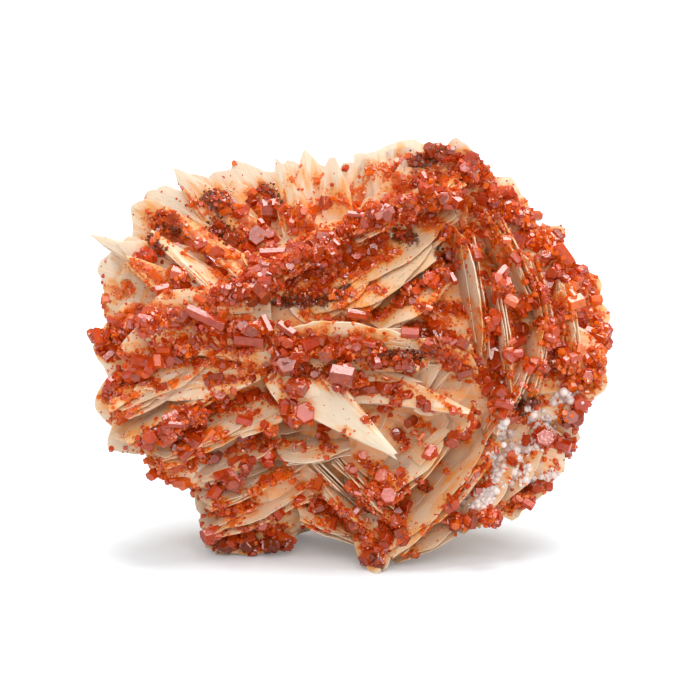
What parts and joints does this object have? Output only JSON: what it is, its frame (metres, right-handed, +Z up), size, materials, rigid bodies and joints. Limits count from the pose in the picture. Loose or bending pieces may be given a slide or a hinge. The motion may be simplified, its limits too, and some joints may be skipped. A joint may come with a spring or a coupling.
{
  "type": "mineral specimen, vanadinite crystals on bladed barite matrix",
  "caption": "Standing cluster of pale bladed barite with crusts of red hexagonal vanadinite crystals and white calcite beads; display specimen.",
  "frame": {"origin": "middle of the footprint of the specimen's box, on the surface that it stands on", "axes": "+Z up, -Y out of the crystal-covered front, +X to the right seen from the front"},
  "size_m": [0.0799, 0.045, 0.062],
  "materials": {
    "barite": "satin, cream to beige, stained orange",
    "vanadinite": "glossy, translucent red to orange",
    "calcite": "waxy white"
  },
  "bodies": {
    "root": {"barite_matrix": "barite", "calcite_beads_1": "calcite", "calcite_beads_2": "calcite", "calcite_beads_3": "calcite", "calcite_beads_4": "calcite", "vanadinite_back_ridge_1": "vanadinite", "vanadinite_back_ridge_2": "vanadinite", "vanadinite_back_ridge_3": "vanadinite", "vanadinite_back_ridge_4": "vanadinite", "vanadinite_block_high": "vanadinite", "vanadinite_block_low": "vanadinite", "vanadinite_book_edge_1": "vanadinite", "vanadinite_book_edge_2": "vanadinite", "vanadinite_cliff_1": "vanadinite", "vanadinite_cliff_2": "vanadinite", "vanadinite_dome_high_1": "vanadinite", "vanadinite_dome_high_2": "vanadinite", "vanadinite_dome_inner_1": "vanadinite", "vanadinite_dome_inner_2": "vanadinite", "vanadinite_dome_middle_1": "vanadinite", "vanadinite_dome_middle_2": "vanadinite", "vanadinite_dome_middle_3": "vanadinite", "vanadinite_dome_middle_4": "vanadinite", "vanadinite_dome_top": "vanadinite", "vanadinite_fan_edge_1": "vanadinite", "vanadinite_fan_edge_2": "vanadinite", "vanadinite_fan_hub": "vanadinite", "vanadinite_keel": "vanadinite", "vanadinite_leaf_corner": "vanadinite", "vanadinite_leaf_flat": "vanadinite", "vanadinite_left_flank": "vanadinite", "vanadinite_left_foot": "vanadinite", "vanadinite_left_slope_1": "vanadinite", "vanadinite_left_slope_2": "vanadinite", "vanadinite_left_slope_3": "vanadinite", "vanadinite_middle_ridge_1": "vanadinite", "vanadinite_middle_ridge_2": "vanadinite", "vanadinite_middle_ridge_3": "vanadinite", "vanadinite_middle_ridge_4": "vanadinite", "vanadinite_outer_corner": "vanadinite", "vanadinite_outer_side": "vanadinite", "vanadinite_right_flank": "vanadinite", "vanadinite_row_high": "vanadinite", "vanadinite_row_low": "vanadinite", "vanadinite_strip_right": "vanadinite", "vanadinite_top_edge_1": "vanadinite", "vanadinite_top_edge_2": "vanadinite", "vanadinite_top_edge_3": "vanadinite", "vanadinite_top_flank_1": "vanadinite", "vanadinite_top_flank_2": "vanadinite", "vanadinite_top_flank_3": "vanadinite", "vanadinite_upper_ridge_1": "vanadinite", "vanadinite_upper_ridge_2": "vanadinite", "vanadinite_upper_ridge_3": "vanadinite", "vanadinite_upper_ridge_4": "vanadinite"}
  },
  "joints": []
}
